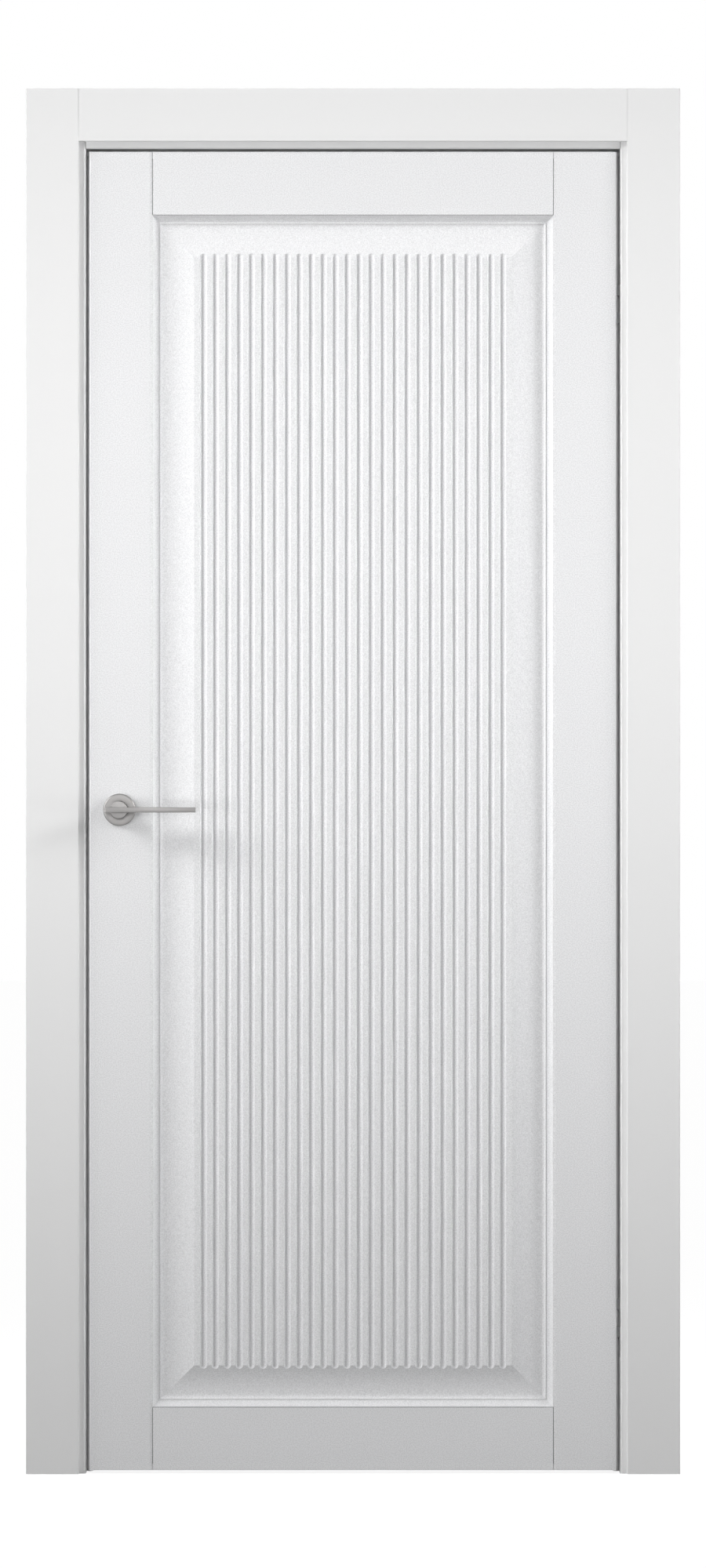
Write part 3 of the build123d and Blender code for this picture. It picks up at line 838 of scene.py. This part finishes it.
        # The toe: the cove's foot turned up to meet the bead's lip
        foot = m("MINIMUM", m("SUBTRACT", self.cove_x, x), m("SUBTRACT", self.cove_z, z))
        near = m("MAXIMUM", m("SUBTRACT", size["Toe Width"], m("MAXIMUM", foot, 0.0)), 0.0)
        toe = self._arc_rise(near, size["Toe Width"], size["Toe Rise"])
        return m("ADD", plain, m("MULTIPLY", toe, m("GREATER_THAN", foot, -self.whisker)))

    def _flute(self, x: Socket, z: Socket) -> Socket:
        """The round hollow of the nearest flute, with its ball ends.

        Args:
            x: the distance across from the middle.
            z: the distance up from the middle.

        Returns:
            The hollow's distance from the middle plane, far outside the panel past the last flute.
        """
        m, size = self.graph.math, self.size
        lip = m("SUBTRACT", size["Flute Radius"], size["Flute Depth"])
        within = m("FLOORED_MODULO", x, size["Flute Pitch"])
        offset = m("SUBTRACT", within, self._half("Flute Pitch"))
        reach = m("POWER", size["Flute Radius"], 2.0)
        half_width = m("SQRT", m("SUBTRACT", reach, m("POWER", lip, 2.0)))
        ball = m("SUBTRACT", m("ADD", self._half("Field Height"), size["Flute Overrun"]), half_width)
        past = m("MAXIMUM", m("SUBTRACT", z, ball), 0.0)
        left = m("SUBTRACT", reach, m("ADD", m("POWER", offset, 2.0), m("POWER", past, 2.0)))
        bowl = m("MULTIPLY", m("SIGN", left), m("SQRT", m("ABSOLUTE", left)))
        hollow = m("SUBTRACT", m("ADD", self._half("Field Thickness"), lip), bowl)
        return m("ADD", hollow, m("GREATER_THAN", x, m("ADD", self.fluted_half, self.whisker / 10)))

    def _finished(self, shape: Socket) -> Socket:
        """Cut the faces into triangles, smooth all but the sharp edges and coat them.

        Args:
            shape: the panel's shape.

        Returns:
            The finished panel.
        """
        graph = self.graph
        cut = graph.node("GeometryNodeTriangulate", {"Mesh": shape}, quad_method="LONGEST_DIAGONAL")
        soft = graph.node("GeometryNodeSetShadeSmooth", {"Geometry": cut.outputs[0]}, domain="FACE")
        angle = graph.node("GeometryNodeInputMeshEdgeAngle").outputs[0]
        edges = {
            "Geometry": soft.outputs[0],
            "Selection": graph.math("GREATER_THAN", angle, self.sharp_edge),
            "Shade Smooth": False,
        }
        sharp = graph.node("GeometryNodeSetShadeSmooth", edges, domain="EDGE")
        return coated(graph, sharp.outputs[0], self.size["Material"])


@dataclass
class BeadFrames:
    """The hollow beads that hold the panel, mitred round both faces. Sizes in metres."""

    width: float = 0.0125
    lip_height: float = 0.0022
    flat: float = 0.0007
    roll: float = 0.0010
    hollow_radius: float = 0.013
    steps: int = 16
    crease: float = 12

    def build(self, palette: Palette) -> None:
        """Build the beads of both faces.

        Args:
            palette: the built materials.
        """
        for side in Side:
            nodes = [f"bead_{side.word}_{edge}" for edge in ("left", "right", "top", "bottom")]
            piece = self._frame(side, nodes)
            settle(piece, Body.LEAF, Finish.LEAF_ENAMEL, palette, *nodes)

    def _section(self, top: float) -> list[Point]:
        """Draw the bead's section: a hollow from the frame down to a small roll.

        Args:
            top: the height of the bead at the frame.

        Returns:
            Distance from the frame and height over the panel, round the section.
        """
        start = Vector((self.flat, top))
        end = Vector((self.width - 2 * self.roll, self.lip_height))
        chord = end - start
        outward = Vector((-chord.y, chord.x)).normalized()
        rise = math.sqrt(self.hollow_radius**2 - (chord.length / 2) ** 2)
        centre = (start + end) / 2 + outward * rise
        first = math.atan2(start.y - centre.y, start.x - centre.x) % (2 * math.pi)
        last = math.atan2(end.y - centre.y, end.x - centre.x) % (2 * math.pi)
        hollow = arc((centre.x, centre.y), self.hollow_radius, first, last, self.steps)
        roll = arc((self.width - self.roll, self.lip_height), self.roll, math.pi, 0, self.steps)
        return [(0.0, 0.0), (0.0, top), *hollow, *roll[1:], (self.width, 0.0)]

    def _frame(self, side: Side, nodes: list[str]) -> bpy.types.Object:
        """Run the section round one face of the opening.

        Args:
            side: the face of the leaf.
            nodes: the four CAD beads that it stands for.

        Returns:
            The mitred frame of beads.
        """
        boxes = [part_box(node) for node in nodes]
        low_x, high_x = min(low.x for low, _ in boxes), max(high.x for _, high in boxes)
        low_z, high_z = min(low.z for low, _ in boxes), max(high.z for _, high in boxes)
        low, high = boxes[0]
        seat = high.y if side is Side.FRONT else low.y
        shape = bmesh.new()
        loops = []
        for inward, height in self._section(high.y - low.y):
            y = seat + side.value * height
            corners = (
                (low_x + inward, low_z + inward),
                (high_x - inward, low_z + inward),
                (high_x - inward, high_z - inward),
                (low_x + inward, high_z - inward),
            )
            loops.append([shape.verts.new((x, y, z)) for x, z in corners])
        for inner, outer in zip(loops, loops[1:] + loops[:1]):
            for corner in range(4):
                after = (corner + 1) % 4
                shape.faces.new((inner[corner], inner[after], outer[after], outer[corner]))
        bmesh.ops.recalc_face_normals(shape, faces=shape.faces)
        return to_object(shape, f"bead_frame_{side.word}", self.crease)


@dataclass
class HandleSet:
    """Round roses and straight levers on both faces of the leaf. Sizes in metres."""

    rose_radius: float = 0.0245
    rose_bore: float = 0.01315
    rose_thickness: float = 0.008
    rose_round: float = 0.0026
    mouth_round: float = 0.0002
    neck_radius: float = 0.013
    neck_root: float = 0.003
    neck_round: float = 0.0006
    standoff: float = 0.042
    socket_radius: float = 0.0058
    socket_end: float = 0.0262
    bar_height: float = 0.0078
    bar_round: float = 0.0006
    corner_steps: int = 6
    segments: int = 144
    crease: float = 40

    def build(self, palette: Palette) -> None:
        """Build both roses and both levers.

        Args:
            palette: the built materials.
        """
        for side in Side:
            rose = self._rose(side)
            settle(rose, Body.LEAF, Finish.SATIN_NICKEL, palette, f"rose_{side.word}")
            lever = self._lever(side)
            settle(lever, Body.HANDLE, Finish.SATIN_NICKEL, palette, f"lever_{side.word}")

    @staticmethod
    def _axis(side: Side) -> tuple[Vector, float]:
        """Find the handle's axis and the leaf's face.

        Args:
            side: the face of the leaf.

        Returns:
            The axis's place, and the face's Y.
        """
        low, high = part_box(f"rose_{side.word}")
        face = high.y if side is Side.FRONT else low.y
        return (low + high) / 2, face

    def _corner(self, outer: float, top: float, radius: float) -> list[Point]:
        """Round the outer corner of a turned profile.

        Args:
            outer: the profile's radius there.
            top: its height there.
            radius: the rounding's radius.

        Returns:
            Points from the side round to the top.
        """
        return arc((outer - radius, top - radius), radius, 0, math.pi / 2, self.corner_steps)

    def _rose(self, side: Side) -> bpy.types.Object:
        """Turn one rose.

        Args:
            side: the face of the leaf.

        Returns:
            The rose.
        """
        axis, face = self._axis(side)
        rim = self._corner(self.rose_radius, self.rose_thickness, self.rose_round)
        lip = (self.rose_bore + self.mouth_round, self.rose_thickness - self.mouth_round)
        mouth = arc(lip, self.mouth_round, math.pi / 2, math.pi, self.corner_steps)
        outline = [(self.rose_bore, 0.0), (self.rose_radius, 0.0), *rim, *mouth]
        profile = [(radius, face + side.value * height) for radius, height in outline]
        return to_object(lathe(profile, axis, self.segments), f"rose_turned_{side.word}", self.crease)

    def _lever(self, side: Side) -> bpy.types.Object:
        """Build one lever: a turned neck with the spindle's socket, and the bar on its end.

        Args:
            side: the face of the leaf.

        Returns:
            The lever.
        """
        axis, face = self._axis(side)
        outline = [
            (0.0, self.socket_end),
            (self.socket_radius, self.socket_end),
            (self.socket_radius, self.neck_root),
            (self.neck_radius, self.neck_root),
            *self._corner(self.neck_radius, self.standoff, self.neck_round),
            (0.0, self.standoff),
        ]
        profile = [(radius, face + side.value * height) for radius, height in outline]
        shape = lathe(profile, axis, self.segments)
        bar = self._bar(side, face + side.value * self.standoff)
        shape.from_mesh(bar)
        bpy.data.meshes.remove(bar)
        return to_object(shape, f"lever_drawn_{side.word}", self.crease)

    def _bar(self, side: Side, seat: float) -> bpy.types.Mesh:
        """Draw one lever's straight bar with its rounded edges.

        Args:
            side: the face of the leaf.
            seat: the Y of the neck's end, which carries it.

        Returns:
            The bar's mesh.
        """
        low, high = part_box(f"lever_{side.word}")
        tip = low.y if side is Side.FRONT else high.y
        middle = Vector(((low.x + high.x) / 2, (seat + tip) / 2, (low.z + high.z) / 2))
        size = Vector((high.x - low.x, abs(tip - seat), self.bar_height))
        bar = bmesh.new()
        bmesh.ops.create_cube(bar, size=1.0)
        for vertex in bar.verts:
            vertex.co = middle + vertex.co * size
        bmesh.ops.bevel(
            bar, geom=bar.edges[:], offset=self.bar_round, segments=3, profile=0.5, affect="EDGES"
        )
        mesh = bpy.data.meshes.new("bar")
        bar.to_mesh(mesh)
        bar.free()
        return mesh


@dataclass
class ScrewSet:
    """Raised countersunk screws on the plates of hinges, latch and strike. Sizes in metres."""

    head_radius: float = 0.0036
    head_rise: float = 0.0005
    recess_width: float = 0.0009
    recess_length: float = 0.0042
    recess_depth: float = 0.0011
    hinge_reach: float = 0.051
    hinge_spread: float = 0.006
    forend_reach: float = 0.022
    strike_reach: float = 0.029
    forend_bevel: float = 0.0009
    root_share: float = 0.8
    recess_taper: float = 0.55
    dome_rings: int = 4
    segments: int = 28
    crease: float = 35

    def build(self, palette: Palette) -> None:
        """Build the screws of the frame and of the leaf, one mesh each.

        Args:
            palette: the built materials.
        """
        head = self._head()
        tree = self._tree()
        for body in (Body.FRAME, Body.LEAF):
            places = self._body_places(body)
            mesh = bpy.data.meshes.new(f"screw_places_{body.value}")
            mesh.from_pydata([place for place, _ in places], [], [])
            facing = mesh.attributes.new("facing", "FLOAT_VECTOR", "POINT")
            for index, (_, way) in enumerate(places):
                facing.data[index].vector = way
            values = {"Head": head, "Seed": SEED, "Material": palette.material(Finish.SCREW_STEEL)}
            seed = new_object(mesh.name, mesh)
            piece = with_nodes(seed, tree, values, f"screws_{body.value}")
            settle(piece, body, Finish.SCREW_STEEL, palette)
        bpy.data.objects.remove(head)

    @staticmethod
    def _plate(node: str, face: float, way: float, reach: float, spreads: tuple[float, ...]) -> Places:
        """The screws of one plate, in rows above and below its middle.

        Args:
            node: the plate's CAD node.
            face: the plate's X.
            way: the side that it faces along X.
            reach: how far each row lies from the middle.
            spreads: how far each screw of a row lies from the middle along Y.

        Returns:
            Each screw's place and the way that it faces.
        """
        low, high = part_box(node)
        middle = (low + high) / 2
        return [
            (Vector((face, middle.y + across, middle.z + up)), Vector((way, 0, 0)))
            for up in (-reach, reach)
            for across in spreads
        ]

    def _body_places(self, body: Body) -> Places:
        """The screws of both hinge plates and of the strike plate or the latch's forend.

        Args:
            body: the frame or the leaf.

        Returns:
            Each screw's place and the way that it faces.
        """
        on_frame = body is Body.FRAME
        way, side = (-1, 0) if on_frame else (1, 1)
        spreads = (-self.hinge_spread, self.hinge_spread)
        places = []
        for level in ("lower", "upper"):
            node = f"hinge_cup_{body.value}_{level}"
            places += self._plate(node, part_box(node)[side].x, way, self.hinge_reach, spreads)
        if on_frame:
            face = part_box("strike_plate")[1].x
            return places + self._plate("strike_plate", face, 1, self.strike_reach, (0.0,))
        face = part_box("latch")[0].x + self.forend_bevel
        return places + self._plate("latch", face, -1, self.forend_reach, (0.0,))

    def _head(self) -> bpy.types.Object:
        """Turn a low domed head and cut its cross recess.

        Returns:
            The head, facing +Z at the origin.
        """
        root = self.head_radius * self.root_share
        profile = [(0.0, -self.head_rise), (root, -self.head_rise), (self.head_radius, 0.0)]
        for ring in range(self.dome_rings - 1, 0, -1):
            angle = math.pi / 2 * ring / self.dome_rings
            profile.append((self.head_radius * math.sin(angle), self.head_rise * math.cos(angle)))
        profile.append((0.0, self.head_rise))
        dome = lathe(profile, Vector((0, 0, 0)), self.segments)
        for vertex in dome.verts:
            vertex.co = Vector((vertex.co.x, -vertex.co.z, vertex.co.y))
        bmesh.ops.recalc_face_normals(dome, faces=dome.faces)
        head = to_object(dome, "screw_head", self.crease)
        cutter = self._cross()
        cut = head.modifiers.new("recess", "BOOLEAN")
        cut.operation = "DIFFERENCE"
        cut.solver = "EXACT"
        cut.use_self = True
        cut.object = cutter
        finished = baked(head, "screw_head_cut")
        bpy.data.objects.remove(cutter)
        return finished

    def _cross(self) -> bpy.types.Object:
        """Build the tapered cross that the recess is cut with.

        Returns:
            The cutter.
        """
        above = self.head_rise * 1.5
        cross = bmesh.new()
        for width, length in (
            (self.recess_width, self.recess_length),
            (self.recess_length, self.recess_width),
        ):
            for vertex in bmesh.ops.create_cube(cross, size=1.0)["verts"]:
                upper = vertex.co.z > 0
                taper = 1.0 if upper else self.recess_taper
                height = above if upper else above - self.recess_depth
                vertex.co = Vector((vertex.co.x * width * taper, vertex.co.y * length * taper, height))
        return to_object(cross, "screw_recess", self.crease)

    @staticmethod
    def _tree() -> bpy.types.NodeTree:
        """Build the tree that sets a head on each point, turned at random about its own axis.

        Returns:
            The Geometry Nodes tree.
        """
        inputs = {
            "Places": (GEOMETRY, None),
            "Head": (OBJECT, None),
            "Seed": (WHOLE, SEED),
            "Material": (MATERIAL, None),
        }
        graph, given, out = group_tree(
            "Screw Heads", "GeometryNodeTree", inputs, {"Geometry": GEOMETRY}
        )
        facing = graph.node(
            "GeometryNodeInputNamedAttribute", {"Name": "facing"}, data_type="FLOAT_VECTOR"
        )
        upright = {"Vector": facing.outputs["Attribute"]}
        aligned = graph.node("FunctionNodeAlignRotationToVector", upright, axis="Z").outputs[0]
        turn = graph.node("FunctionNodeRandomValue", {"Seed": given.outputs["Seed"]}, data_type="FLOAT")
        least, most = [socket for socket in turn.inputs if socket.type == "VALUE"][:2]
        graph.feed(least, 0.0)
        graph.feed(most, math.pi)
        angle = next(socket for socket in turn.outputs if socket.type == "VALUE" and socket.enabled)
        spin = graph.node("ShaderNodeCombineXYZ", {2: angle}).outputs[0]
        twist = graph.node("FunctionNodeRotateRotation", {0: aligned, 1: spin}, rotation_space="LOCAL")
        heads = {
            "Points": given.outputs["Places"],
            "Instance": graph.node(
                "GeometryNodeObjectInfo", {"Object": given.outputs["Head"]}
            ).outputs["Geometry"],
            "Rotation": twist.outputs[0],
        }
        set_out = graph.node("GeometryNodeInstanceOnPoints", heads).outputs[0]
        graph.feed(out.inputs["Geometry"], coated(graph, set_out, given.outputs["Material"]))
        return graph.tree


@dataclass
class CarriedNodes:
    """The CAD nodes that stay shown, by finish and by how their names start."""

    starts: dict[Finish, tuple[str, ...]] = field(
        default_factory=lambda: {
            Finish.TRIM_ENAMEL: ("jamb_", "stop_", "casing_"),
            Finish.LEAF_ENAMEL: ("stile_",),
            Finish.RAIL_ENAMEL: ("rail_",),
            Finish.EDGE_BAND: ("edge_band_",),
            Finish.SEAL_RUBBER: ("seal_",),
            Finish.SATIN_NICKEL: ("latch", "strike_plate", "spindle"),
            Finish.HINGE_ZAMAK: ("hinge_",),
        }
    )

    def dress(self, palette: Palette) -> None:
        """Put its finish on every shown node.

        Args:
            palette: the built materials.
        """
        for finish, starts in self.starts.items():
            shown = [name for name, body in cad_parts.items() if not body.hide_render]
            names = [name for name in shown if name.startswith(starts)]
            for name in names:
                palette.dress_node(name, finish)
            log.info("%s on %d nodes", finish.value.name, len(names))


@dataclass(frozen=True)
class Lamp:
    """One soft square lamp. Lengths in metres, power in watts, spread in degrees."""

    name: str
    place: tuple[float, float, float]
    aim: tuple[float, float, float]
    size: float
    power: float
    spread: float

    def hang(self) -> None:
        """Put the lamp in the scene, looking at its aim."""
        light = bpy.data.lights.new(self.name, "AREA")
        light.size = self.size
        light.energy = self.power
        light.spread = math.radians(self.spread)
        hung = bpy.data.objects.new(self.name, light)
        bpy.context.scene.collection.objects.link(hung)
        hung.location = self.place
        look = Vector(self.aim) - Vector(self.place)
        hung.rotation_euler = look.to_track_quat("-Z", "Y").to_euler()


@dataclass
class Studio:
    """The camera, the lamps, the sky and the floor. Lengths in metres."""

    aim: tuple[float, float, float] = (-0.431, -0.05, 1.0461)
    distance: float = 12.0
    view_height: float = 2.3765
    sensor: float = 36.0
    lamps: tuple[Lamp, ...] = (
        Lamp("key_lamp", (-4.97, -3.84, 5.1), (-0.431, -0.05, 1.28), 3.0, 11.4, 34),
        Lamp("left_lamp", (-5.8, -1.9, 3.5), (-0.55, -0.05, 1.28), 2.0, 7.0, 36),
        Lamp("right_lamp", (4.9, -2.1, 3.5), (-0.3, -0.05, 1.28), 2.0, 8.5, 34),
        Lamp("low_lamp_left", (-5.0, -4.4, 0.4), (-0.431, -0.05, 1.58), 1.8, 7.6, 34),
        Lamp("low_lamp_right", (5.0, -2.4, 0.4), (-0.431, -0.05, 1.58), 1.8, 5.8, 34),
        Lamp("front_lamp", (-0.431, -13.0, 2.3), (-0.431, -0.05, 1.15), 1.6, 4.4, 34),
    )
    sky_top: float = 0.25
    sky_low: float = 0.12
    sky_rear: float = 0.9
    floor_size: float = 60.0
    floor_tone: float = 0.3
    floor_glow: float = 0.86

    def build(self) -> None:
        """Set the scene round the door."""
        scene = bpy.context.scene
        scene.view_settings.view_transform = "Standard"
        self._camera(scene)
        for lamp in self.lamps:
            lamp.hang()
        self._sky(scene)
        self._floor()

    def _camera(self, scene: bpy.types.Scene) -> None:
        """Stand the camera square in front of the leaf.

        Args:
            scene: the scene that takes it.
        """
        lens = bpy.data.cameras.new("camera")
        lens.sensor_width = self.sensor
        lens.lens = self.sensor * self.distance / self.view_height
        lens.clip_end = 200
        camera = bpy.data.objects.new("camera", lens)
        scene.collection.objects.link(camera)
        camera.location = Vector(self.aim) - Vector((0, self.distance, 0))
        camera.rotation_euler = (math.pi / 2, 0, 0)
        scene.camera = camera

    @staticmethod
    def _seen(graph: Graph) -> Socket:
        """The rays that show the background: straight, mirrored and through glass.

        Args:
            graph: the tree that asks.

        Returns:
            The mask's socket.
        """
        path = graph.node("ShaderNodeLightPath").outputs
        seen = graph.math("MAXIMUM", path["Is Camera Ray"], path["Is Glossy Ray"])
        return graph.math("MAXIMUM", seen, path["Is Transmission Ray"])

    def _sky(self, scene: bpy.types.Scene) -> None:
        """Light the room softly from above and from behind, with a white background.

        Args:
            scene: the scene that takes it.
        """
        world = bpy.data.worlds.new("studio_sky")
        world.use_nodes = True
        scene.world = world
        graph = Graph(world.node_tree)
        ways = graph.node("ShaderNodeTexCoord").outputs["Generated"]
        parts = graph.node("ShaderNodeSeparateXYZ", {0: ways}).outputs
        height = graph.clamped(graph.math("MULTIPLY_ADD", parts[2], 0.5, 0.5))
        dome = graph.mixed(height, (self.sky_low,) * 3, (self.sky_top,) * 3)
        behind = graph.math("MULTIPLY", graph.clamped(parts[1]), self.sky_rear)
        glow = graph.vector("ADD", {0: dome, 1: behind})
        background = world.node_tree.nodes["Background"].inputs
        graph.feed(background["Color"], graph.mixed(self._seen(graph), glow, (1.0, 1.0, 1.0)))
        graph.feed(background["Strength"], 1.0)

    def _floor(self) -> None:
        """Lay a pale floor that shows the shadow but throws little light back."""
        shape = bmesh.new()
        reach = self.floor_size / 2
        corners = [(-reach, -reach), (reach, -reach), (reach, reach), (-reach, reach)]
        shape.faces.new([shape.verts.new((x, y, 0)) for x, y in corners])
        floor = to_object(shape, "floor", 0)
        paint = bpy.data.materials.new("floor_paint")
        paint.use_nodes = True
        graph = Graph(paint.node_tree)
        paint.node_tree.nodes.clear()
        tone, glow = (*(self.floor_tone,) * 3, 1), (*(self.floor_glow,) * 3, 1)
        dull = graph.node("ShaderNodeBsdfDiffuse", {"Color": tone}).outputs[0]
        light = graph.node("ShaderNodeEmission", {"Color": glow}).outputs[0]
        lit = graph.node("ShaderNodeAddShader", {0: dull, 1: light}).outputs[0]
        choice = graph.node("ShaderNodeMixShader", {0: self._seen(graph), 1: dull, 2: lit})
        graph.node("ShaderNodeOutputMaterial", {0: choice.outputs[0]})
        floor.data.materials.append(paint)


def main() -> None:
    """Build every piece, dress the rest and light the door."""
    logging.basicConfig(level=logging.INFO, format="%(message)s")
    palette = Palette()
    FlutedPanel().build(palette)
    BeadFrames().build(palette)
    HandleSet().build(palette)
    ScrewSet().build(palette)
    CarriedNodes().dress(palette)
    Studio().build()


if __name__ == "__main__":
    main()
